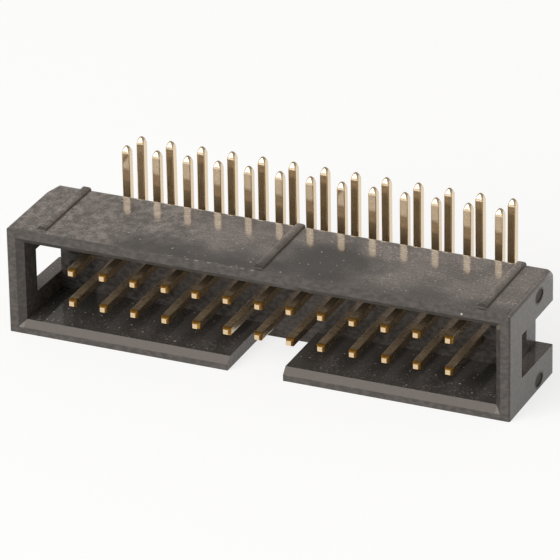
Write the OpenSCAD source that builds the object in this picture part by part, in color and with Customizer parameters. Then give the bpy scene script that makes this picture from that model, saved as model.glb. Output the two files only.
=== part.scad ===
// A right-angle box header: a moulded shroud with two rows of bent square pins.
// It rests on the wall with the key slot. The mouth faces -Y and the tails stand up along +Z.

/* [Pins] */
// Number of pins in each row
pins_per_row = 13; // [5:1:20]
// Distance between neighbouring pins, along a row and between the rows
pitch = 2.54; // [2.4:0.02:2.8]
// Width of the square wire
pin_width = 0.64; // [0.5:0.02:0.7]
// Size of the broken edges along the wire
pin_edge = 0.05; // [0.02:0.01:0.08]
// Distance from the mouth back to the pin tips inside it
tip_recess = 0.45; // [0.2:0.05:2]
// Length of the coined taper at a tip inside the mouth
mating_taper = 0.35; // [0.2:0.05:0.8]
// Width of the flat end of a tip inside the mouth
mating_flat = 0.42; // [0.2:0.02:0.46]
// Length of the coined dome at the end of a tail
tail_taper = 0.56; // [0.3:0.02:1]
// Width of the flat end of a tail
tail_flat = 0.08; // [0.04:0.02:0.3]
// Turn of the arch at which a coined side starts, so that a low ridge is left around the wire
coin_start = 15; // [0:5:45]
// Distance from the back of the housing to the middle of the nearest row of tails
tail_setback = 2.05; // [1.4:0.05:4]
// Length of the nearer row of tails past the stand-offs
tail_reach = 2.65; // [2:0.05:4]
// How much lower the farther row of tails ends
back_row_drop = 0.3; // [0:0.05:0.6]
// Inside radius of the right-angle bend
bend_radius = 0.6; // [0.3:0.05:0.9]

/* [Housing] */
// Distance from the last pin in a row to the end of the housing
end_space = 5.05; // [4.2:0.05:8]
// Depth of the housing, from the mouth to the back
body_depth = 8.8; // [7:0.05:12]
// Height of the housing without its stand-offs
body_height = 8.7; // [7.8:0.1:11]
// Thickness of the wall with the key slot
key_wall = 1; // [0.8:0.05:1.5]
// Thickness of the wall on the board side
board_wall = 1.3; // [0.8:0.05:1.5]
// Thickness of the end walls
end_wall = 1.25; // [0.9:0.05:1.6]
// Thickness of the base that holds the pins
base_wall = 2.25; // [1.5:0.05:3]
// How far the back of the base stands in from the back of the long walls
base_setback = 0.4; // [0.05:0.05:0.6]
// Width and depth of the lead-in chamfer around the mouth
mouth_chamfer = 0.5; // [0.2:0.05:0.7]
// Radius of the four upright corners
corner_radius = 0.15; // [0.1:0.05:0.6]
// Radius of the edges between the end faces and the board side
end_edge_radius = 0.35; // [0.1:0.05:0.6]
// Radius of the edge between the back and the board side
back_edge_radius = 0.8; // [0.3:0.1:1.2]

/* [Key and end slots] */
// Width of the key slot in the mouth
key_width = 4.5; // [3:0.1:6]
// Height of the open slot in each end wall
slot_height = 3.6; // [2:0.1:4.5]
// Distance from the mouth to the front of an end slot
slot_start = 2.4; // [1.2:0.05:4]
// How much an end slot's floor drops towards the back
slot_draft = 0.18; // [0.02:0.02:0.4]

/* [Stand-offs and marks] */
// Height of the stand-off ribs above the board side
rib_height = 0.3; // [0.2:0.05:0.8]
// Width of a rib where it leaves the wall
rib_foot = 0.75; // [0.6:0.05:1.2]
// Width of the flat top of a rib
rib_top = 0.15; // [0.1:0.05:0.5]
// Distance from the mouth to the front of a rib
rib_front_gap = 0.4; // [0.3:0.05:2]
// Distance from the back of the housing to the end of a rib
rib_back_gap = 0.45; // [0.2:0.05:1.2]
// Distance from an end face to the middle of the nearest rib
rib_inset = 2.56; // [1.8:0.02:4]
// How far all the ribs sit to +X of an even spacing
rib_shift = 0.22; // [-0.3:0.02:0.3]
// Length of the oval ejector marks on the end faces
mark_length = 1.5; // [0.6:0.1:1.8]
// Height of the ejector marks
mark_height = 0.9; // [0.5:0.1:1.1]
// Depth of the ejector marks
mark_depth = 0.08; // [0.05:0.01:0.3]
// Distance from the mouth to the middle of a mark
mark_setback = 5.9; // [4:0.05:6.5]
// Distance from the middle of a lower mark to the resting face
lower_mark_inset = 0.7; // [0.6:0.05:1.1]
// Distance from the middle of an upper mark to the board side
upper_mark_inset = 1.1; // [0.7:0.05:1.3]

/* [Fit] */
// Gap between a pin and each side of its hole
pin_clearance = 0.01; // [0.005:0.005:0.05]

/* [Hidden] */
$fn = 48;
// Overlap that lets a cut run cleanly past a face
past = 1;
row_length = (pins_per_row - 1) * pitch;
body_length = row_length + 2 * end_space;
cavity_length = body_length - 2 * end_wall;
cavity_depth = body_depth - base_wall;
cavity_top = body_height - board_wall;
row_middle = (key_wall + cavity_top) / 2;
lower_row = row_middle - pitch / 2;
upper_row = row_middle + pitch / 2;
front_tails = body_depth + tail_setback;
back_tails = front_tails + pitch;
tail_top = body_height + rib_height + tail_reach;
bend_middle = bend_radius + pin_width / 2;
hole_width = pin_width + 2 * pin_clearance;
slot_floor = row_middle - slot_height / 2;
slot_roof = row_middle + slot_height / 2;
whole_depth = back_tails + pin_width / 2;
// Number of flats along each side of a coined end
coin_steps = 5;
numbers = [for (i = [1:pins_per_row]) str(i < 10 ? "0" : "", i)];
upper_names = [for (n = numbers) str("upper_pin_", n)];
lower_names = [for (n = numbers) str("lower_pin_", n)];

// Puts the origin on the resting face, under the middle of the whole part
module in_place() {
    translate([0, -whole_depth / 2, 0]) children();
}

// Where the pin with this number, counted from 0, stands along the row
function pin_x(i) = i * pitch - row_length / 2;

// The part of a square corner that lies outside a round of this radius
module corner_waste(radius) {
    difference() {
        square(radius + past);
        circle(radius);
    }
}

// The housing seen from above, with its four upright corners rounded
module body_plan() {
    middle = [0, body_depth / 2];
    reach = middle + [body_length / 2 - corner_radius, -corner_radius];
    difference() {
        translate([-body_length / 2, 0]) square([body_length, body_depth]);
        for (side = [0, 1], end = [0, 1]) {
            translate(middle) mirror([side, 0]) mirror([0, end]) {
                translate([reach[0], reach[1]]) corner_waste(corner_radius);
            }
        }
    }
}

// The housing seen from the end, with the round on its back edge. X is depth and Y is height here
module body_side() {
    difference() {
        square([body_depth, body_height]);
        translate([body_depth - back_edge_radius, body_height - back_edge_radius]) {
            corner_waste(back_edge_radius);
        }
    }
}

// Stands an outline of depth and height upright, and extrudes it along the row
module along_row(length) {
    rotate([90, 0, 90]) linear_extrude(length, center = true) children();
}

// The housing seen from the mouth, with rounds between its end faces and the board side
module body_face() {
    difference() {
        translate([-body_length / 2, 0]) square([body_length, body_height]);
        for (side = [0, 1]) {
            mirror([side, 0]) translate([body_length / 2 - end_edge_radius, body_height - end_edge_radius]) {
                corner_waste(end_edge_radius);
            }
        }
    }
}

module body_block() {
    intersection() {
        linear_extrude(body_height) body_plan();
        along_row(body_length + past) body_side();
        rotate([90, 0, 0]) linear_extrude(body_depth * 3, center = true) body_face();
    }
}

// The space that takes the mating socket
module mating_cavity() {
    translate([-cavity_length / 2, -past, key_wall]) {
        cube([cavity_length, cavity_depth + past, cavity_top - key_wall]);
    }
}

// The sloping lead-in on all four walls at the mouth, mitred at its corners
module mouth_lead_in() {
    flare = mouth_chamfer + past;
    half = cavity_length / 2;
    intersection() {
        linear_extrude(body_height * 2, center = true) {
            polygon([[-half - flare, -past], [half + flare, -past], [half, mouth_chamfer],
                [-half, mouth_chamfer]]);
        }
        along_row(body_length * 2) {
            polygon([[-past, key_wall - flare], [mouth_chamfer, key_wall], [mouth_chamfer, cavity_top],
                [-past, cavity_top + flare]]);
        }
    }
}

// The slot in the lower wall that takes the key of the mating socket
module key_slot() {
    translate([-key_width / 2, -past, -past]) {
        cube([key_width, cavity_depth + past, key_wall + mouth_chamfer + past]);
    }
}

// The outline of an end slot, open at the back, with its floor dropping towards the back
module slot_outline() {
    fall = slot_draft * (1 + past / (body_depth - slot_start));
    front = slot_floor + slot_draft / 2;
    far = body_depth + past;
    polygon([[slot_start, front], [far, front - fall], [far, slot_roof], [slot_start, slot_roof]]);
}

// The slots through the end walls, where the ends of the base stand back
module end_slots() {
    for (side = [0, 1]) {
        mirror([side, 0, 0]) translate([(cavity_length + end_wall + past) / 2, 0, 0]) {
            along_row(end_wall + past) slot_outline();
        }
    }
}

// The step that sets the back of the base in between the long walls
module base_step() {
    intersection() {
        along_row(body_length + 2 * past) slot_outline();
        translate([-body_length, body_depth - base_setback, 0]) {
            cube([body_length * 2, base_setback + past, body_height]);
        }
    }
}

// The square holes through the base, one around each pin
module pin_holes() {
    for (i = [0:pins_per_row - 1], z = [lower_row, upper_row]) {
        translate([pin_x(i) - hole_width / 2, cavity_depth - past, z - hole_width / 2]) {
            cube([hole_width, base_wall + 2 * past, hole_width]);
        }
    }
}

// The shallow oval marks near the long walls on both end faces
module ejector_marks() {
    for (side = [0, 1], z = [lower_mark_inset, body_height - upper_mark_inset]) {
        mirror([side, 0, 0]) {
            translate([body_length / 2 - mark_depth, mark_setback, z]) {
                rotate([0, 90, 0]) scale([mark_height, mark_length, 1]) {
                    cylinder(h = mark_depth + past, d = 1);
                }
            }
        }
    }
}

// A rib's outline over this length, which arches up from both ends to a flat top
module rib_outline(length) {
    shoulder = (rib_foot - rib_top) / 2;
    root = board_wall / 2;
    right = [for (a = [0:30:90]) [length / 2 - shoulder * (1 - cos(a)), rib_height * sin(a)]];
    left = [for (i = [len(right) - 1:-1:0]) [-right[i][0], right[i][1]]];
    polygon(concat([[length / 2, -root]], right, left, [[-length / 2, -root]]));
}

// One stand-off rib with arched sides and ends, rooted in the board-side wall
module stand_off() {
    length = body_depth - rib_front_gap - rib_back_gap;
    translate([0, rib_front_gap + length / 2, body_height]) {
        intersection() {
            rotate([90, 0, 0]) linear_extrude(length + past, center = true) rib_outline(rib_foot);
            along_row(rib_foot * 2) rib_outline(length);
        }
    }
}

module stand_offs() {
    rib_x = body_length / 2 - rib_inset;
    for (x = [-rib_x, 0, rib_x]) {
        translate([x + rib_shift, 0, 0]) stand_off();
    }
}

module housing() {
    color("#3b3936") in_place() {
        difference() {
            body_block();
            mating_cavity();
            mouth_lead_in();
            key_slot();
            end_slots();
            base_step();
            pin_holes();
            ejector_marks();
        }
        stand_offs();
    }
}

// The square wire in section, with its edges broken
module wire_section() {
    intersection() {
        square(pin_width, center = true);
        rotate(45) square((pin_width - pin_edge) * sqrt(2), center = true);
    }
}

// The outline of a leg that ends in a coined tip, whose sides arch over to a small flat
module leg_outline(length, taper, flat) {
    half = pin_width / 2;
    turns = [for (i = [0:coin_steps]) coin_start + (90 - coin_start) * i / coin_steps];
    lean = [for (a = turns) cos(a) / cos(coin_start)];
    rise = [for (a = turns) (sin(a) - sin(coin_start)) / (1 - sin(coin_start))];
    start = length - taper;
    right = [for (i = [0:coin_steps]) [flat / 2 + (half - flat / 2) * lean[i], start + taper * rise[i]]];
    left = [for (i = [coin_steps:-1:0]) [-right[i][0], right[i][1]]];
    polygon(concat([[half, 0]], right, left, [[-half, 0]]));
}

// A straight leg of wire along +Z with a four-sided coined tip
module wire_leg(length, taper, flat) {
    intersection() {
        linear_extrude(length) wire_section();
        for_side(0) leg_outline(length, taper, flat);
        for_side(90) leg_outline(length, taper, flat);
    }
}

// Stands a leg's outline upright and gives it the width of the wire
module for_side(turn) {
    rotate([0, 0, turn]) rotate([90, 0, 0]) linear_extrude(pin_width * 2, center = true) children();
}

// One bent pin whose legs lie at this height and at this depth, and whose tail ends at this height
module bent_pin(row, tail, top) {
    mating_length = tail - bend_middle - tip_recess;
    tail_length = top - row - bend_middle;
    translate([0, tail - bend_middle, row]) rotate([90, 0, 0]) {
        wire_leg(mating_length, mating_taper, mating_flat);
    }
    translate([0, tail - bend_middle, row + bend_middle]) rotate([0, 90, 0]) {
        rotate_extrude(angle = 90) translate([bend_middle, 0]) wire_section();
    }
    translate([0, tail, row + bend_middle]) wire_leg(tail_length, tail_taper, tail_flat);
}

// A pin from the upper row in the mouth, which ends in the tails nearest to the housing
module upper_pin(i) {
    color("#c9a35a") in_place() translate([pin_x(i), 0, 0]) {
        bent_pin(upper_row, front_tails, tail_top);
    }
}

// A pin from the lower row in the mouth, which passes under the others to the back row of tails
module lower_pin(i) {
    color("#c9a35a") in_place() translate([pin_x(i), 0, 0]) {
        bent_pin(lower_row, back_tails, tail_top - back_row_drop);
    }
}

housing();
for (i = [0:pins_per_row - 1]) {
    upper_pin(i);
    lower_pin(i);
}
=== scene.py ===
"""A 26 way right-angle box header: a black moulded shroud with two rows of bent, gold-plated square pins."""
import math

import bmesh
import bpy
from mathutils import Euler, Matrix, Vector


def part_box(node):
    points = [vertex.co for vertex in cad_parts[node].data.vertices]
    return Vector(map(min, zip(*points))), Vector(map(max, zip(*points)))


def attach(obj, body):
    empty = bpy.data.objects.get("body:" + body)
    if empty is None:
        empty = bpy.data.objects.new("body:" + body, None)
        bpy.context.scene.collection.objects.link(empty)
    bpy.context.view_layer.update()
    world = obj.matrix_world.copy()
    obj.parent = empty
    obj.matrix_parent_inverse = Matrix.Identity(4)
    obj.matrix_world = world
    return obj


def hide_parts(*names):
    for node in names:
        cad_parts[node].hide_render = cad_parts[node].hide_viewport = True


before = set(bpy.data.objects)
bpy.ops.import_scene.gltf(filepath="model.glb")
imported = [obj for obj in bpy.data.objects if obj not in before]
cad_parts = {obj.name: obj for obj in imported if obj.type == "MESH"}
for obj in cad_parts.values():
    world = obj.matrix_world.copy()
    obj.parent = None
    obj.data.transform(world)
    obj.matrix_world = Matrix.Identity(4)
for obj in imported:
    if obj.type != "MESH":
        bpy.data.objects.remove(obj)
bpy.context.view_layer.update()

# The camera stands where the photographer's did, a little to the right of the mouth and above it.
# Its lens is long, so the rows of pins hardly close up with distance.
MM = 0.001
PHOTO_PIXELS = 560
SENSOR = 36.0
VIEW_AZIMUTH = math.radians(24.076)
VIEW_ELEVATION = math.radians(25.793)
VIEW_ROLL = math.radians(-1.011)
VIEW_DISTANCE = 406.54 * MM
VIEW_TARGET = Vector((-0.082, -1.855, 5.64)) * MM
FOCAL_PIXELS = 5450.5

scene = bpy.context.scene
towards_camera = Vector((
    math.sin(VIEW_AZIMUTH) * math.cos(VIEW_ELEVATION),
    -math.cos(VIEW_AZIMUTH) * math.cos(VIEW_ELEVATION),
    math.sin(VIEW_ELEVATION),
))
camera_data = bpy.data.cameras.new("photo_camera")
camera_data.sensor_width = SENSOR
camera_data.lens = FOCAL_PIXELS / PHOTO_PIXELS * SENSOR
camera_data.clip_start = 0.01
camera_data.clip_end = 20
camera = bpy.data.objects.new("photo_camera", camera_data)
camera.rotation_mode = "QUATERNION"
camera.rotation_quaternion = towards_camera.to_track_quat("Z", "Y") @ Euler((0, 0, VIEW_ROLL)).to_quaternion()
camera.location = VIEW_TARGET + towards_camera * VIEW_DISTANCE
scene.collection.objects.link(camera)
scene.camera = camera
scene.view_settings.view_transform = "Standard"

# The studio's one lamp is a large soft box. It hangs in front of the part on the left, above the sheet
# that the part stands on, and is aimed at the part.
BOX_DIRECTION = (-0.4, -0.8, 0.52)
BOX_DISTANCE = 0.75
BOX_WIDTH = 0.62
BOX_HEIGHT = 0.82
BOX_RADIANCE = 3.0

lamp = bpy.data.lights.new("key_box", "AREA")
lamp.shape = "RECTANGLE"
lamp.size = BOX_WIDTH
lamp.size_y = BOX_HEIGHT
lamp.energy = BOX_RADIANCE * math.pi * BOX_WIDTH * BOX_HEIGHT
soft_box = bpy.data.objects.new("key_box", lamp)
away = Vector(BOX_DIRECTION).normalized()
soft_box.location = away * BOX_DISTANCE
soft_box.rotation_mode = "QUATERNION"
soft_box.rotation_quaternion = away.to_track_quat("Z", "Y")
scene.collection.objects.link(soft_box)


# The room around the sheet is a plain grey, dimmer behind and above.
# It gives the rounded ends of the pins their dark outlines.
def linear(hex_colour):
    """Turns an sRGB hex colour into the linear colour that a socket takes."""
    parts = [int(hex_colour[i:i + 2], 16) / 255 for i in (1, 3, 5)]
    return [c / 12.92 if c <= 0.04045 else ((c + 0.055) / 1.055) ** 2.4 for c in parts] + [1.0]


def add_node(tree, kind, settings={}, inputs={}):
    """Adds one node with its settings. An input takes a value, a socket, or another node's first output."""
    node = tree.nodes.new(kind)
    for name, value in settings.items():
        setattr(node, name, value)
    for name, value in inputs.items():
        if isinstance(value, bpy.types.Node):
            value = next(socket for socket in value.outputs if socket.enabled)
        if isinstance(value, bpy.types.NodeSocket):
            tree.links.new(value, node.inputs[name])
        else:
            node.inputs[name].default_value = value
    return node


def fade(tree, *steps, shape="SMOOTHSTEP"):
    """Multiplies its steps into one mask.

    A step is an amount, a value with a comparison and a limit, or a value with two limits and the amounts
    before and after them.
    """
    mask = None
    for step in steps:
        if isinstance(step, tuple) and len(step) == 3:
            value, comparison, limit = step
            step = add_node(tree, "ShaderNodeMath", {"operation": comparison}, {0: value, 1: limit})
        elif isinstance(step, tuple):
            value, start, end, before, after = step
            step = add_node(tree, "ShaderNodeMapRange", {"interpolation_type": shape},
                            {"Value": value, "From Min": start, "From Max": end,
                             "To Min": before, "To Max": after})
        if mask is None:
            mask = step
        else:
            mask = add_node(tree, "ShaderNodeMath", {"operation": "MULTIPLY"}, {0: mask, 1: step})
    return mask


ROOM_BEHIND = "#a8a6a3"
ROOM_FRONT = "#bab8b5"
CEILING = "#8a8885"

world = bpy.data.worlds.new("studio_air")
scene.world = world
world.use_nodes = True
air = world.node_tree
air.nodes.clear()
look = add_node(air, "ShaderNodeTexCoord").outputs["Generated"]
look = add_node(air, "ShaderNodeSeparateXYZ", inputs={"Vector": look}).outputs
around = add_node(air, "ShaderNodeMix", {"data_type": "RGBA"},
                  {"Factor": fade(air, (look["Y"], -0.3, 0.4, 0.0, 1.0)),
                   "A": linear(ROOM_FRONT), "B": linear(ROOM_BEHIND)})
shade = add_node(air, "ShaderNodeMix", {"data_type": "RGBA"},
                 {"Factor": fade(air, (look["Z"], 0.48, 0.72, 0.0, 1.0)),
                  "A": around, "B": linear(CEILING)})
glow = add_node(air, "ShaderNodeBackground", inputs={"Color": shade, "Strength": 1.0})
add_node(air, "ShaderNodeOutputWorld", inputs={"Surface": glow})

# The part stands on a large sheet of white matt paper, which keeps the shadow. The sheet glows a little to
# the camera and to what mirrors it, so that it reads as white, and is mirrored dimmer in front than behind.
SHEET_HALF = 1.5
SHEET_DROP = 0.01 * MM
PAPER = "#f2f2f1"
PAPER_IN_VIEW = "#9c9c9b"
PAPER_GLOW = "#ffffff"
GLOW_IN_VIEW = 0.76
GLOW_IN_FRONT = 0.6
GLOW_BEHIND = 0.8


def new_material(name):
    """Starts an empty material and gives back its tree and its output."""
    material = bpy.data.materials.new(name)
    material.use_nodes = True
    material.node_tree.nodes.clear()
    return material, material.node_tree, add_node(material.node_tree, "ShaderNodeOutputMaterial")


sheet_material, paper, output = new_material("matt_paper")
path = add_node(paper, "ShaderNodeLightPath").outputs
where = add_node(paper, "ShaderNodeNewGeometry").outputs["Position"]
where = add_node(paper, "ShaderNodeSeparateXYZ", inputs={"Vector": where}).outputs
mirrored_glow = fade(paper, (where["Y"], -0.02, 0.03, GLOW_IN_FRONT, GLOW_BEHIND))
strength = fade(paper, (path["Is Glossy Ray"], 0.0, 1.0, GLOW_IN_VIEW, mirrored_glow))
matt = add_node(paper, "ShaderNodeBsdfDiffuse", inputs={"Color": linear(PAPER)})
faint = add_node(paper, "ShaderNodeBsdfDiffuse", inputs={"Color": linear(PAPER_IN_VIEW)})
lit = add_node(paper, "ShaderNodeEmission", inputs={"Color": linear(PAPER_GLOW), "Strength": strength})
both = add_node(paper, "ShaderNodeAddShader", inputs={0: faint, 1: lit})
seen = path["Is Camera Ray"]
for ray in ("Is Glossy Ray", "Is Transmission Ray"):
    seen = add_node(paper, "ShaderNodeMath", {"operation": "MAXIMUM"}, {0: seen, 1: path[ray]})
choice = add_node(paper, "ShaderNodeMixShader", inputs={0: seen, 1: matt, 2: both})
paper.links.new(choice.outputs["Shader"], output.inputs["Surface"])

sheet_mesh = bpy.data.meshes.new("paper_sheet")
corners = [(x * SHEET_HALF, y * SHEET_HALF, 0) for x, y in ((-1, -1), (1, -1), (1, 1), (-1, 1))]
sheet_mesh.from_pydata(corners, [], [(0, 1, 2, 3)])
sheet_mesh.materials.append(sheet_material)
paper_sheet = bpy.data.objects.new("paper_sheet", sheet_mesh)
paper_sheet.location.z = -SHEET_DROP
scene.collection.objects.link(paper_sheet)


# The housing is one injection moulding in black glass-filled polyester, with crisp but not sharp edges.
# Its form is the fixed frame's own. Its edges are eased here, and where the ends meet the board side they are
# rounded more and more towards the back.
WELD = 0.0005 * MM
FLAT_ANGLE = math.radians(0.5)
EDGE_EASE = 0.06 * MM
EDGE_STEPS = 2
EASED_ANGLE = math.radians(25)
ROUND_START = (-0.2 * MM, 0.3 * MM)
ROUND_END = (2.1 * MM, 1.05 * MM)
ROUND_STEPS = 10
ROUND_SPARE = 0.2 * MM

# Where the board side and the front edge are, in mm, as for every place in the material further down
BOARD_SIDE = 8.7
FRONT = -6.855

moulding_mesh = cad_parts["housing"].data.copy()
moulding_mesh.name = "housing_moulding"
moulding_mesh.materials.clear()
rough_form = bmesh.new()
rough_form.from_mesh(moulding_mesh)
bmesh.ops.remove_doubles(rough_form, verts=rough_form.verts, dist=WELD)
bmesh.ops.dissolve_limit(rough_form, angle_limit=FLAT_ANGLE, verts=rough_form.verts, edges=rough_form.edges)
for face in rough_form.faces:
    face.smooth = True
rough_form.to_mesh(moulding_mesh)
rough_form.free()
if "custom_normal" in moulding_mesh.attributes:
    moulding_mesh.attributes.remove(moulding_mesh.attributes["custom_normal"])
housing_moulding = bpy.data.objects.new("housing_moulding", moulding_mesh)
scene.collection.objects.link(housing_moulding)


def corner_waste(name, side, end_x, board_z):
    """The sliver between a square corner and a round one, whose radius grows towards the back."""
    sliver = bmesh.new()
    rings = []
    for y, radius in (ROUND_START, ROUND_END):
        outline = [(end_x + ROUND_SPARE, board_z - radius), (end_x + ROUND_SPARE, board_z + ROUND_SPARE),
                   (end_x - radius, board_z + ROUND_SPARE)]
        for step in range(ROUND_STEPS + 1):
            turn = math.pi / 2 * (1 - step / ROUND_STEPS)
            outline.append((end_x - radius + radius * math.cos(turn),
                            board_z - radius + radius * math.sin(turn)))
        rings.append([sliver.verts.new((side * x, y, z)) for x, z in outline])
    near, far = rings
    for first in range(len(near)):
        second = (first + 1) % len(near)
        sliver.faces.new((near[first], near[second], far[second], far[first]))
    sliver.faces.new(near)
    sliver.faces.new(far)
    bmesh.ops.recalc_face_normals(sliver, faces=sliver.faces)
    for face in sliver.faces:
        face.smooth = True
    mesh = bpy.data.meshes.new(name)
    sliver.to_mesh(mesh)
    sliver.free()
    waste = bpy.data.objects.new(name, mesh)
    scene.collection.objects.link(waste)
    return waste


def settle(obj, name):
    """Turns an object and its modifiers into a plain mesh object with the same material."""
    graph = bpy.context.evaluated_depsgraph_get()
    finished = obj.evaluated_get(graph)
    mesh = bpy.data.meshes.new_from_object(finished, preserve_all_data_layers=True, depsgraph=graph)
    bpy.data.objects.remove(obj)
    mesh.name = name
    plain = bpy.data.objects.new(name, mesh)
    scene.collection.objects.link(plain)
    return plain


half_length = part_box("housing")[1][0]
wastes = [corner_waste("waste_east", 1, half_length, BOARD_SIDE * MM),
          corner_waste("waste_west", -1, half_length, BOARD_SIDE * MM)]
for waste in wastes:
    cut = housing_moulding.modifiers.new(waste.name, "BOOLEAN")
    cut.operation = "DIFFERENCE"
    cut.solver = "EXACT"
    cut.object = waste
ease = housing_moulding.modifiers.new("eased_edges", "BEVEL")
ease.width = EDGE_EASE
ease.segments = EDGE_STEPS
ease.limit_method = "ANGLE"
ease.angle_limit = EASED_ANGLE
ease.use_clamp_overlap = True
ease.miter_outer = "MITER_ARC"
flatten = housing_moulding.modifiers.new("flat_faces", "WEIGHTED_NORMAL")
flatten.mode = "FACE_AREA"
flatten.weight = 100
housing_moulding = settle(housing_moulding, "housing_moulding")
for waste in wastes:
    bpy.data.objects.remove(waste)

# Glass-filled polyester as it leaves the mould: near black and glossy, so that the tails are mirrored in it.
# A pale bloom of handling dust lies on the board side in clouds of about 3 mm, broken up by a 0.15 mm grain.
# It was rubbed off in a patch to +X of the middle rib and in a band along the front edge.
PLASTIC = "#4a4845"
# The colour of the painted shade deep in the mouth
CAVITY_SHADE_COLOUR = "#262524"
# Pale dust, and painted light on the rounded back edge and the ribs' flanks
DUST_AND_PAINTED_LIGHT = "#b0a59e"
SPECK_AND_GLINT = "#d8d2ca"
PALE_DASH = "#b9b3ad"
PAINTED_SHADE = "#312f2c"
MIRRORED_TINT = "#ffeee2"
PLASTIC_IOR = 1.48
GRAIN_HEIGHT = 0.01 * MM
GRAIN_STRENGTH = 0.025
END_FACE = 20.29
CAVITY_HALF = 19.1
CAVITY_TOP = BOARD_SIDE - 1.0
BACK_ROUND = 1.15
SPECK_SPACING = 0.7
BARE_CELLS = 0.7
ENDLESS = 1e9

# What breaks the dust up: the size of a feature in mm along each axis, and how much finer detail is in it
PATTERNS = {
    "clouds": ((3.0, 3.0, 3.0), 4.0),
    "grain": ((0.15, 0.15, 0.15), 1.0),
    "scuffs": ((0.84, 0.168, 0.14), 2.0),
    "smears": ((0.66, 0.825, 0.55), 3.0),
    "crumbs": ((0.22, 0.22, 0.22), 2.0),
    "crumb drifts": ((1.6, 1.6, 1.6), 1.0),
    "fluff": ((0.24, 0.24, 0.24), 2.0),
    "fluff drifts": ((1.3, 1.3, 1.3), 1.0),
    "mottle": ((0.48, 0.3, 0.3), 3.0),
    "dashes": ((0.48, 0.16, 0.16), 2.0),
}
# Oval patches: the middle and the half lengths in mm, and how far the clouds make the outline wander
PATCHES = {
    "rubbed patch": ((4.4, -3.6, BOARD_SIDE), (3.7, 3.3, 9.0), 1.0),
    "rubbed band": ((-5.5, -6.6, BOARD_SIDE), (6.0, 2.2, 9.0), 1.0),
    "smeared rib": ((-17.0, -3.6, BOARD_SIDE), (1.1, 3.2, 9.0), 1.0),
    "dashed edge": ((-3.4, FRONT, BOARD_SIDE), (3.6, 9.0, 9.0), 0.0),
    "upper mark": ((0.0, -0.95, 7.6), (ENDLESS, 0.95, 0.68), 0.0),
    "lower mark": ((0.0, -0.95, 0.7), (ENDLESS, 0.95, 0.68), 0.0),
    # Where the two painted glints sit
    "front glint": ((16.52, FRONT, 8.12), (0.085, 0.3, 0.085), 0.0),
    "corner glint": ((20.27, -6.83, 8.62), (0.1, 0.1, 0.1), 0.0),
}

plastic, tree, output = new_material("moulded_glass_filled_polyester")
coordinates = add_node(tree, "ShaderNodeTexCoord").outputs
in_mm = add_node(tree, "ShaderNodeVectorMath", {"operation": "SCALE"},
                 {0: coordinates["Object"], "Scale": 1 / MM})
place = add_node(tree, "ShaderNodeSeparateXYZ", inputs={"Vector": in_mm}).outputs
facing = add_node(tree, "ShaderNodeSeparateXYZ", inputs={"Vector": coordinates["Normal"]}).outputs
off_middle = add_node(tree, "ShaderNodeMath", {"operation": "ABSOLUTE"}, {0: place["X"]})
endwards = add_node(tree, "ShaderNodeMath", {"operation": "ABSOLUTE"}, {0: facing["X"]})

pattern = {}
for name, (feature, detail) in PATTERNS.items():
    spot = add_node(tree, "ShaderNodeVectorMath", {"operation": "DIVIDE"}, {0: in_mm, 1: feature})
    pattern[name] = add_node(tree, "ShaderNodeTexNoise",
                             inputs={"Vector": spot, "Scale": 1.0, "Detail": detail})
wobble = add_node(tree, "ShaderNodeMath", {"operation": "SUBTRACT"}, {0: pattern["clouds"], 1: 0.5})
wobble = add_node(tree, "ShaderNodeMath", {"operation": "MULTIPLY"}, {0: wobble, 1: 1.4})
from_patch = {}
for name, (middle, half_lengths, wandering) in PATCHES.items():
    spot = add_node(tree, "ShaderNodeVectorMath", {"operation": "SUBTRACT"}, {0: in_mm, 1: middle})
    spot = add_node(tree, "ShaderNodeVectorMath", {"operation": "DIVIDE"}, {0: spot, 1: half_lengths})
    spot = add_node(tree, "ShaderNodeVectorMath", {"operation": "LENGTH"}, {0: spot})
    from_patch[name] = add_node(tree, "ShaderNodeMath", {"operation": "MULTIPLY_ADD"},
                                {0: wobble, 1: wandering, 2: spot})

# The board side's bloom is thin where it was rubbed, and along the front edge except on the left
uneven_y = add_node(tree, "ShaderNodeMath", {"operation": "MULTIPLY_ADD"}, {0: wobble, 1: 1.5, 2: place["Y"]})
near_front = fade(tree, (uneven_y, FRONT + 0.4, FRONT + 2.4, 1.0, 0.0), (place["X"], -13.0, -7.0, 0.0, 1.0))
behind_front = add_node(tree, "ShaderNodeMath", {"operation": "MULTIPLY_ADD"},
                        {0: near_front, 1: -0.62, 2: 1.0})
texture = fade(tree, (pattern["grain"], 0.3, 0.7, 0.3, 0.64))
for operation, layer in (
        ("ADD", fade(tree, (pattern["scuffs"], 0.45, 0.7, 0.0, 0.18))),
        ("ADD", fade(tree, (pattern["crumbs"], 0.57, 0.66, 0.0, 1.0),
                     (pattern["crumb drifts"], 0.4, 0.6, 0.0, 1.0),
                     (place["X"], 2.0, 8.0, 0.2, 0.55))),
        ("ADD", fade(tree, (pattern["smears"], 0.35, 0.68, -0.2, 0.22),
                     (place["X"], -9.0, -4.0, 1.0, 0.0))),
        ("MAXIMUM", 0.0)):
    texture = add_node(tree, "ShaderNodeMath", {"operation": operation}, {0: texture, 1: layer})
looking_up = fade(tree, (facing["Z"], 0.3, 0.95, 0.0, 1.0))
dust_and_painted_light = fade(tree, texture, looking_up, behind_front,
             (place["Z"], BOARD_SIDE - 0.4, BOARD_SIDE - 0.1, 0.0, 1.0),
             (pattern["clouds"], 0.33, 0.6, 0.62, 1.0),
             (from_patch["rubbed patch"], 0.55, 1.45, 0.12, 1.0),
             (from_patch["rubbed band"], 0.6, 1.4, 0.35, 1.0),
             (from_patch["smeared rib"], 0.3, 1.2, 1.5, 1.0))
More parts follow.
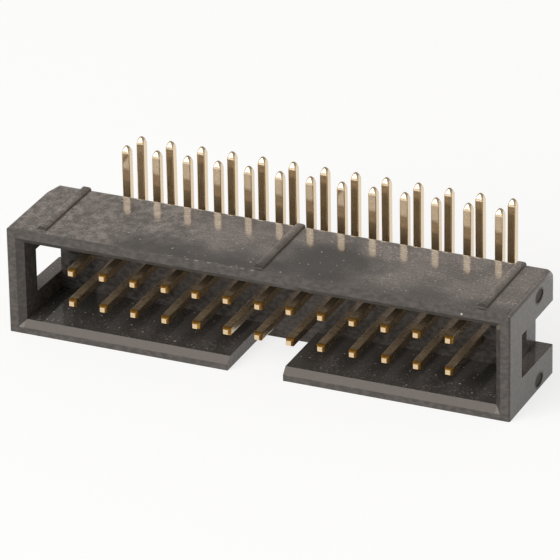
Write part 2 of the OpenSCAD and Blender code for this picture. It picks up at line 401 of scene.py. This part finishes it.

# Dust elsewhere, and painted light, in this order: the end slots' ledges, the mouth's floor and the fluff on
# it, the faces towards the front made a little lighter, painted light on the rounded back edge, which has the
# most, the end faces made a little lighter and dust on their edges, painted light on the ribs' flanks, all
# upright faces
on_floor = fade(tree, (facing["Z"], 0.9, 0.99, 0.0, 1.0), (off_middle, "LESS_THAN", CAVITY_HALF),
                (place["Z"], "LESS_THAN", CAVITY_TOP), (place["Y"], FRONT + 5.0, FRONT + 1.0, 0.25, 1.0))
on_end = fade(tree, (endwards, 0.9, 0.99, 0.0, 1.0))
on_rib = fade(tree, (place["Z"], BOARD_SIDE + 0.01, BOARD_SIDE + 0.06, 0.0, 1.0))
for operation, layer in (
        ("ADD", fade(tree, looking_up, (off_middle, "GREATER_THAN", CAVITY_HALF),
                     (place["Z"], "LESS_THAN", CAVITY_TOP), (pattern["grain"], 0.3, 0.7, 0.14, 0.4))),
        ("ADD", fade(tree, on_floor, (pattern["grain"], 0.5, 0.75, 0.0, 0.14))),
        ("ADD", fade(tree, on_floor, (pattern["fluff"], 0.56, 0.66, 0.0, 0.34),
                     (pattern["fluff drifts"], 0.42, 0.62, 0.0, 1.0))),
        ("ADD", fade(tree, (facing["Y"], -0.9, -0.99, 0.0, 0.04))),
        # Painted light on the rounded back edge, standing in for light from behind and above that the tails
        # mirror
        ("MAXIMUM", fade(tree, (place["Y"], BACK_ROUND + 0.3, BACK_ROUND + 0.45, 0.0, 1.0),
                         (place["Z"], 7.85, 8.0, 0.0, 1.0), (facing["Z"], 0.05, 0.25, 0.0, 1.0),
                         (off_middle, 18.6, 19.2, 0.95, 0.0))),
        ("ADD", fade(tree, on_end, 0.07)),
        ("ADD", fade(tree, (endwards, 0.2, 0.4, 0.0, 0.3), (endwards, 0.97, 0.85, 0.0, 1.0),
                     (facing["Z"], 0.15, 0.3, 0.0, 1.0), (off_middle, "GREATER_THAN", END_FACE - 0.2))),
        # Painted light on the ribs' flanks, which lightens their shaded sides
        ("ADD", fade(tree, on_rib, (endwards, 0.2, 0.5, 0.02, 0.2))),
        ("ADD", fade(tree, (facing["Z"], 0.8, 0.5, 0.0, 1.0), (pattern["mottle"], 0.34, 0.66, -0.05, 0.07))),
        ("MAXIMUM", 0.0)):
    dust_and_painted_light = add_node(tree, "ShaderNodeMath", {"operation": operation}, {0: dust_and_painted_light, 1: layer})

# Inside the mouth the plastic is painted darker the deeper it lies, and more on the back wall: painted shade
cavity_painted_shade = fade(tree, (off_middle, "LESS_THAN", CAVITY_HALF + 0.1), (place["Z"], "LESS_THAN", BOARD_SIDE - 0.8),
            (place["Y"], "LESS_THAN", 0.5), (place["Y"], FRONT + 0.6, FRONT + 5.5, 0.0, 1.0),
            (facing["Y"], -0.5, -0.9, 0.55, 0.66))

# Single specks of dust lie on every face that looks up, and two painted highlights, small glints, sit by the
# mouth's right corner
cells = add_node(tree, "ShaderNodeTexVoronoi", {"voronoi_dimensions": "2D"},
                 {"Vector": in_mm, "Scale": 1 / SPECK_SPACING}).outputs
lucky = add_node(tree, "ShaderNodeSeparateColor", inputs={"Color": cells["Color"]}).outputs
speck_size = fade(tree, (lucky["Green"], 0.0, 1.0, 0.03, 0.1))
specks = fade(tree, (cells["Distance"], "LESS_THAN", speck_size), (lucky["Red"], "GREATER_THAN", BARE_CELLS),
              (facing["Z"], 0.85, 0.97, 0.0, 1.0), (lucky["Blue"], 0.0, 1.0, 0.25, 0.9))
# The two painted glints by the mouth's right corner
front_glint_highlight = fade(tree, (from_patch["front glint"], 1.15, 0.75, 0.0, 1.0))
corner_glint_highlight = fade(tree, (from_patch["corner glint"], 1.15, 0.75, 0.0, 1.0))

# Short pale dashes lie along the front edge of the board side, here and there
dashes = fade(tree, (place["Y"], "LESS_THAN", FRONT + 0.12), (place["Z"], "GREATER_THAN", BOARD_SIDE - 0.07),
              (from_patch["dashed edge"], 0.9, 1.2, 1.0, 0.0), (pattern["dashes"], 0.55, 0.62, 0.0, 1.0))

# The ejector marks are painted darker than the face around them, as painted shade for their weaker
# reflection, and fade out at their edges
painted_mark_shade = add_node(tree, "ShaderNodeMath", {"operation": "MAXIMUM"},
                {0: fade(tree, (from_patch["upper mark"], 0.55, 1.15, 1.0, 0.0)),
                 1: fade(tree, (from_patch["lower mark"], 0.55, 1.15, 1.0, 0.0))})
painted_mark_shade = fade(tree, painted_mark_shade, (off_middle, "GREATER_THAN", END_FACE - 0.15))

# The colours lie over one another in this order, last the painted shade that darkens the ribs' front ends
rib_end_painted_shade = fade(tree, on_rib, (facing["Y"], -0.25, -0.5, 0.0, 1.0))
skin = linear(PLASTIC)
for layer, share, colour in (
        (cavity_painted_shade, 1.0, CAVITY_SHADE_COLOUR), (dust_and_painted_light, 1.0, DUST_AND_PAINTED_LIGHT), (specks, 1.0, SPECK_AND_GLINT), (front_glint_highlight, 0.85, SPECK_AND_GLINT),
        (corner_glint_highlight, 0.85, SPECK_AND_GLINT), (dashes, 0.45, PALE_DASH), (painted_mark_shade, 0.7, PAINTED_SHADE),
        (rib_end_painted_shade, 0.8, PAINTED_SHADE)):
    skin = add_node(tree, "ShaderNodeMix", {"data_type": "RGBA"},
                    {"Factor": fade(tree, layer, share), "A": skin, "B": linear(colour)})

# The gloss of the mould is duller under dust, in the marks, on the ribs and the ends, and facing down
facing_down = fade(tree, (facing["Z"], -0.2, -0.6, 0.0, 1.0))
roughness = fade(tree, (pattern["clouds"], 0.3, 0.7, 0.06, 0.1))
for layer, dulling in ((dust_and_painted_light, 0.05), (painted_mark_shade, 0.4), (on_rib, 0.35), (facing_down, 0.4), (rib_end_painted_shade, 0.3),
                       (on_end, 0.16)):
    roughness = add_node(tree, "ShaderNodeMath", {"operation": "MULTIPLY_ADD"},
                         {0: layer, 1: dulling, 2: roughness})
bump = add_node(tree, "ShaderNodeBump",
                inputs={"Strength": GRAIN_STRENGTH, "Distance": GRAIN_HEIGHT, "Height": pattern["grain"]})
surface = add_node(tree, "ShaderNodeBsdfPrincipled",
                   inputs={"Base Color": skin, "Roughness": roughness, "IOR": PLASTIC_IOR,
                           "Specular Tint": linear(MIRRORED_TINT), "Normal": bump})
tree.links.new(surface.outputs["BSDF"], output.inputs["Surface"])

housing_moulding.data.materials.append(plastic)
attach(housing_moulding, "root")
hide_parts("housing")

# The pins are square brass wire, nickel and gold plated. Each is coined at both ends and bent once.
# The machine that fits them pushes each row through the base, and leaves every pin leaning by a hair.
PIN_COUNT = 13
PITCH = 2.54 * MM
WIRE = 0.64 * MM
WIRE_EDGE = 0.05 * MM
SIDE_CUTS = 11
BEND_RADIUS = 0.6 * MM + WIRE / 2
BEND_STEPS = 14
MATING_TAPER = 0.24 * MM
MATING_FLAT = 0.38 * MM
TAIL_TAPER = 0.56 * MM
TAIL_FLAT = 0.08 * MM
COIN_START = math.radians(15)
COIN_STEPS = 8
COIN_RIDGE = 0.015 * MM
MATING_ROUNDING = 0.24
TAIL_ROUNDING = 0.98
FULLY_ROUNDED = 0.45
CRISP_EDGE = math.radians(60)
LEAN = math.radians(0.25)
HOLE_DEPTH = 1.1 * MM
TINY = 1e-9


def tapered_end(taper, flat):
    """Distances back from a straight-sided tip, and the share of the wire's width that is left there."""
    left = flat / WIRE
    return [(0.0, left), (taper / 3, (2 * left + 1) / 3), (taper, 1.0), (taper + COIN_RIDGE, 1.0)]


def coined_end(taper, flat):
    """The same for a domed tip, whose sides draw in along an arch."""
    points = []
    for step in range(COIN_STEPS, -1, -1):
        turn = COIN_START + (math.pi / 2 - COIN_START) * step / COIN_STEPS
        rise = (math.sin(turn) - math.sin(COIN_START)) / (1 - math.sin(COIN_START))
        arch = math.cos(turn) / math.cos(COIN_START)
        points.append((taper * (1 - rise), flat / WIRE + (1 - flat / WIRE) * arch))
    points.append((taper + COIN_RIDGE, 1.0))
    return points


def bent_pin_path(tip_y, row_z, tail_y, tail_top):
    """Points of one pin from its tip in the mouth to its tail, each with its share of the wire's width."""
    path = [((0, tip_y + back, row_z), share) for back, share in tapered_end(MATING_TAPER, MATING_FLAT)]
    centre = (tail_y - BEND_RADIUS, row_z + BEND_RADIUS)
    for step in range(BEND_STEPS + 1):
        turn = math.pi / 2 * step / BEND_STEPS
        y = centre[0] + BEND_RADIUS * math.sin(turn)
        z = centre[1] - BEND_RADIUS * math.cos(turn)
        path.append(((0, y, z), 1.0))
    for back, share in reversed(coined_end(TAIL_TAPER, TAIL_FLAT)):
        path.append(((0, tail_y, tail_top - back), share))
    return path


def row_of_pins_tree():
    """Sweeps square wire along a pin's path, rounds its ends, and sets out a row of slightly leaning pins."""
    tree = bpy.data.node_groups.new("row_of_square_pins", "GeometryNodeTree")
    tree.interface.new_socket("Path", in_out="INPUT", socket_type="NodeSocketGeometry")
    for name, kind in (("Count", "Int"), ("Pitch", "Float"), ("Wire width", "Float"), ("Edge share", "Float"),
                       ("Side cuts", "Int"), ("Lean", "Float"), ("Seed", "Int"), ("Hole", "Vector"),
                       ("Finish", "Material")):
        tree.interface.new_socket(name, in_out="INPUT", socket_type="NodeSocket" + kind)
    tree.interface.new_socket("Pins", in_out="OUTPUT", socket_type="NodeSocketGeometry")
    given = add_node(tree, "NodeGroupInput").outputs

    # The wire: a square swept along the path, which keeps its place along the wire and its share of the width
    here = add_node(tree, "GeometryNodeInputPosition")
    share = add_node(tree, "GeometryNodeInputRadius")
    run = add_node(tree, "GeometryNodeSplineParameter").outputs
    past_middle = add_node(tree, "ShaderNodeMath", {"operation": "GREATER_THAN"}, {0: run["Factor"], 1: 0.5})
    path = given["Path"]
    for name, kind, value in (("wire_along", "FLOAT", run["Length"]), ("wire_share", "FLOAT", share),
                              ("wire_on_tail", "FLOAT", past_middle), ("wire_middle", "FLOAT_VECTOR", here)):
        path = add_node(tree, "GeometryNodeStoreNamedAttribute", {"data_type": kind, "domain": "POINT"},
                        {"Geometry": path, "Name": name, "Value": value})
    section = add_node(tree, "GeometryNodeCurvePrimitiveQuadrilateral", {"mode": "RECTANGLE"},
                       {"Width": given["Wire width"], "Height": given["Wire width"]})
    section = add_node(tree, "GeometryNodeSubdivideCurve",
                       inputs={"Curve": section, "Cuts": given["Side cuts"]})
    wire = add_node(tree, "GeometryNodeCurveToMesh",
                    inputs={"Curve": path, "Profile Curve": section, "Scale": share, "Fill Caps": True})
    width_left, on_tail, middle = [
        add_node(tree, "GeometryNodeInputNamedAttribute", {"data_type": kind}, {"Name": name})
        for name, kind in (("wire_share", "FLOAT"), ("wire_on_tail", "FLOAT"),
                           ("wire_middle", "FLOAT_VECTOR"))]

    # The edges: each section's corners are rounded, by little along the wire and by more towards a tip.
    # What reaches past the flat part of a side is pulled in to a circle round the end of that flat part.
    most = add_node(tree, "ShaderNodeMapRange",
                    inputs={"Value": on_tail, "To Min": MATING_ROUNDING, "To Max": TAIL_ROUNDING})
    rounding = add_node(tree, "ShaderNodeMapRange",
                        inputs={"Value": width_left, "From Min": 1.0, "From Max": FULLY_ROUNDED,
                                "To Min": given["Edge share"], "To Max": most})
    half = add_node(tree, "ShaderNodeMath", {"operation": "MULTIPLY"}, {0: given["Wire width"], 1: 0.5})
    half = add_node(tree, "ShaderNodeMath", {"operation": "MULTIPLY"}, {0: half, 1: width_left})
    radius = add_node(tree, "ShaderNodeMath", {"operation": "MULTIPLY"}, {0: half, 1: rounding})
    flat = add_node(tree, "ShaderNodeMath", {"operation": "SUBTRACT"}, {0: half, 1: radius})
    offset = add_node(tree, "ShaderNodeVectorMath", {"operation": "SUBTRACT"}, {0: here, 1: middle})
    parts = [add_node(tree, "ShaderNodeVectorMath", {"operation": "MULTIPLY"}, {0: offset, 1: direction})
             for direction in ((1, 0, 0), (0, 1, 1))]
    reach = add_node(tree, "ShaderNodeCombineXYZ")
    for axis, part in zip("XY", parts):
        length = add_node(tree, "ShaderNodeVectorMath", {"operation": "LENGTH"}, {0: part})
        tree.links.new(length.outputs["Value"], reach.inputs[axis])
    over = add_node(tree, "ShaderNodeVectorMath", {"operation": "SUBTRACT"}, {0: reach, 1: flat})
    over = add_node(tree, "ShaderNodeVectorMath", {"operation": "MAXIMUM"}, {0: over, 1: (0, 0, 0)})
    past = add_node(tree, "ShaderNodeVectorMath", {"operation": "LENGTH"}, {0: over})
    past = add_node(tree, "ShaderNodeMath", {"operation": "MAXIMUM"}, {0: past, 1: TINY})
    pull = add_node(tree, "ShaderNodeMath", {"operation": "DIVIDE"}, {0: radius, 1: past})
    over = add_node(tree, "ShaderNodeVectorMath", {"operation": "SCALE"}, {0: over, "Scale": pull})
    kept = add_node(tree, "ShaderNodeVectorMath", {"operation": "MINIMUM"}, {0: reach, 1: flat})
    kept = add_node(tree, "ShaderNodeVectorMath", {"operation": "ADD"}, {0: kept, 1: over})
    reach = add_node(tree, "ShaderNodeVectorMath", {"operation": "MAXIMUM"}, {0: reach, 1: [TINY] * 3})
    kept = add_node(tree, "ShaderNodeVectorMath", {"operation": "DIVIDE"}, {0: kept, 1: reach})
    kept = add_node(tree, "ShaderNodeSeparateXYZ", inputs={"Vector": kept}).outputs
    place = middle
    for axis, part in zip("XY", parts):
        part = add_node(tree, "ShaderNodeVectorMath", {"operation": "SCALE"}, {0: part, "Scale": kept[axis]})
        place = add_node(tree, "ShaderNodeVectorMath", {"operation": "ADD"}, {0: place, 1: part})
    pin = add_node(tree, "GeometryNodeSetPosition", inputs={"Geometry": wire, "Position": place})
    bend = add_node(tree, "GeometryNodeInputMeshEdgeAngle").outputs["Unsigned Angle"]
    soft = add_node(tree, "FunctionNodeCompare", {"data_type": "FLOAT", "operation": "LESS_THAN"},
                    {"A": bend, "B": CRISP_EDGE})
    pin = add_node(tree, "GeometryNodeSetShadeSmooth", {"domain": "EDGE"},
                   {"Geometry": pin, "Shade Smooth": soft})

    # The row: one pin at each hole, turned about its hole by a random hair
    step = add_node(tree, "ShaderNodeCombineXYZ", inputs={"X": given["Pitch"]})
    back = add_node(tree, "ShaderNodeMath", {"operation": "SUBTRACT"}, {0: 1.0, 1: given["Count"]})
    back = add_node(tree, "ShaderNodeMath", {"operation": "MULTIPLY"}, {0: back, 1: 0.5})
    first = add_node(tree, "ShaderNodeVectorMath", {"operation": "SCALE"}, {0: step, "Scale": back})
    first = add_node(tree, "ShaderNodeVectorMath", {"operation": "ADD"}, {0: first, 1: given["Hole"]})
    row = add_node(tree, "GeometryNodeMeshLine", {"mode": "OFFSET"},
                   {"Count": given["Count"], "Start Location": first, "Offset": step})
    least = add_node(tree, "ShaderNodeMath", {"operation": "MULTIPLY"}, {0: given["Lean"], 1: -1.0})
    lean = add_node(tree, "FunctionNodeRandomValue", {"data_type": "FLOAT_VECTOR"},
                    {"Min": least, "Max": given["Lean"], "Seed": given["Seed"]})
    pins = add_node(tree, "GeometryNodeInstanceOnPoints",
                    inputs={"Points": row, "Instance": pin, "Rotation": lean})
    pins = add_node(tree, "GeometryNodeRealizeInstances", inputs={"Geometry": pins})
    pins = add_node(tree, "GeometryNodeSetMaterial", inputs={"Geometry": pins, "Material": given["Finish"]})
    add_node(tree, "NodeGroupOutput", inputs={"Pins": pins})
    return tree


pin_tree = row_of_pins_tree()

# Thin gold over nickel: a pale yellow metal, bright on the tails and softly brushed inside the mouth.
# The slopes that were coined round a mating tip are duller, and painted a deeper, darker gold as painted
# shade for the dark they mirror.
# A brown film of dust lies on what looks up in the mouth, in blotches of 0.4 mm. It thins out with depth,
# sooner on the upper row, which is painted shade for the dark deeper in the mouth and under its top wall.
GOLD = "#f0e0c6"
# The deeper gold is painted shade on a mating tip's slopes
SLOPE_SHADE_GOLD = "#dba44a"
DULL_GOLD = "#e3c598"
TAIL_POLISH = 0.09
MOUTH_POLISH = 0.2
BRUSHED = 0.55
FILM = "#9c8970"
FILM_SIZE = 0.4

# Limits in mm: the height between the two rows, and where along the wire it is out of the mouth
BETWEEN_ROWS = (4.2, 4.3)
OUT_OF_MOUTH = (8.0, 9.0)

gold, tree, output = new_material("gold_plated_drawn_wire")
coordinates = add_node(tree, "ShaderNodeTexCoord").outputs
in_mm = add_node(tree, "ShaderNodeVectorMath", {"operation": "SCALE"},
                 {0: coordinates["Object"], "Scale": 1 / MM})
height = add_node(tree, "ShaderNodeSeparateXYZ", inputs={"Vector": in_mm}).outputs["Z"]
upward = add_node(tree, "ShaderNodeSeparateXYZ", inputs={"Vector": coordinates["Normal"]}).outputs["Z"]
along = add_node(tree, "ShaderNodeAttribute", {"attribute_name": "wire_along"}).outputs["Fac"]
along = add_node(tree, "ShaderNodeMath", {"operation": "MULTIPLY"}, {0: along, 1: 1 / MM})
slope = fade(tree, (along, 0.0, 0.03, 0.0, 1.0), (along, 0.26, 0.6, 1.0, 0.0), shape="LINEAR")
polish = fade(tree, (along, *OUT_OF_MOUTH, MOUTH_POLISH, TAIL_POLISH), shape="LINEAR")
finishes = []
for tint, roughness in ((GOLD, polish), (DULL_GOLD, BRUSHED)):
    tint = add_node(tree, "ShaderNodeMix", {"data_type": "RGBA"},
                    {"Factor": slope, "A": linear(tint), "B": linear(SLOPE_SHADE_GOLD)})
    finishes.append(add_node(tree, "ShaderNodeBsdfPrincipled",
                             inputs={"Base Color": tint, "Metallic": 1.0, "Roughness": roughness}))
brushed = add_node(tree, "ShaderNodeMath", {"operation": "MAXIMUM"},
                   {0: fade(tree, (along, 7.0, 9.0, 0.1, 0.3), shape="LINEAR"),
                    1: fade(tree, (along, 0.26, 0.5, 0.6, 0.0), shape="LINEAR")})
metal = add_node(tree, "ShaderNodeMixShader", inputs={0: brushed, 1: finishes[0], 2: finishes[1]})

blotches = add_node(tree, "ShaderNodeTexNoise",
                    inputs={"Vector": in_mm, "Scale": 1 / FILM_SIZE, "Detail": 2.0})
# Where the film thins to half: painted shade, sooner on the upper row under the top wall
shade_thinning_start = fade(tree, (height, *BETWEEN_ROWS, 3.0, 0.8), shape="LINEAR")
shade_thinning_end = fade(tree, (height, *BETWEEN_ROWS, 7.0, 2.0), shape="LINEAR")
film_and_painted_shade = fade(tree, (blotches, 0.3, 0.7, 0.34, 0.62), (along, *OUT_OF_MOUTH, 1.0, 0.15),
            (along, 0.24, 0.45, 0.0, 1.0), (along, shade_thinning_start, shade_thinning_end, 1.0, 0.5),
            (upward, 0.2, 0.8, 0.2, 1.0), shape="LINEAR")
dust = add_node(tree, "ShaderNodeBsdfDiffuse", inputs={"Color": linear(FILM)})
dusty = add_node(tree, "ShaderNodeMixShader", inputs={0: film_and_painted_shade, 1: metal, 2: dust})
tree.links.new(dusty.outputs["Shader"], output.inputs["Surface"])


# The upper row in the mouth stands up as the front row of tails, the lower row as the back row of tails.
# Both rows are made by the same tree, each with the places that the frame gives its pins.
def row_of_pins(name, node_prefix, seed):
    """Makes one row of pins where the frame has them, and lets it stand for those nodes."""
    nodes = [f"{node_prefix}_{number:02d}" for number in range(1, PIN_COUNT + 1)]
    low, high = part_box(nodes[0])
    row_z = low[2] + WIRE / 2
    tail_y = high[1] - WIRE / 2
    hole = Vector((0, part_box("housing")[1][1] - HOLE_DEPTH, row_z))
    curve = bpy.data.curves.new(name, "CURVE")
    curve.dimensions = "3D"
    spline = curve.splines.new("POLY")
    points = bent_pin_path(low[1], row_z, tail_y, high[2])
    spline.points.add(len(points) - 1)
    for point, (place, share) in zip(spline.points, points):
        point.co = (*(Vector(place) - hole), 1.0)
        point.radius = share
    holder = bpy.data.objects.new(name + "_path", curve)
    scene.collection.objects.link(holder)
    maker = holder.modifiers.new("row", "NODES")
    maker.node_group = pin_tree
    values = {"Count": PIN_COUNT, "Pitch": PITCH, "Wire width": WIRE, "Edge share": WIRE_EDGE / (WIRE / 2),
              "Side cuts": SIDE_CUTS, "Lean": LEAN, "Seed": seed, "Hole": hole, "Finish": gold}
    for item in pin_tree.interface.items_tree:
        if item.in_out == "INPUT" and item.name in values:
            maker[item.identifier] = values[item.name]
    pins = settle(holder, name)
    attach(pins, "root")
    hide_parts(*nodes)


row_of_pins("upper_pins", "upper_pin", seed=3)
row_of_pins("lower_pins", "lower_pin", seed=8)
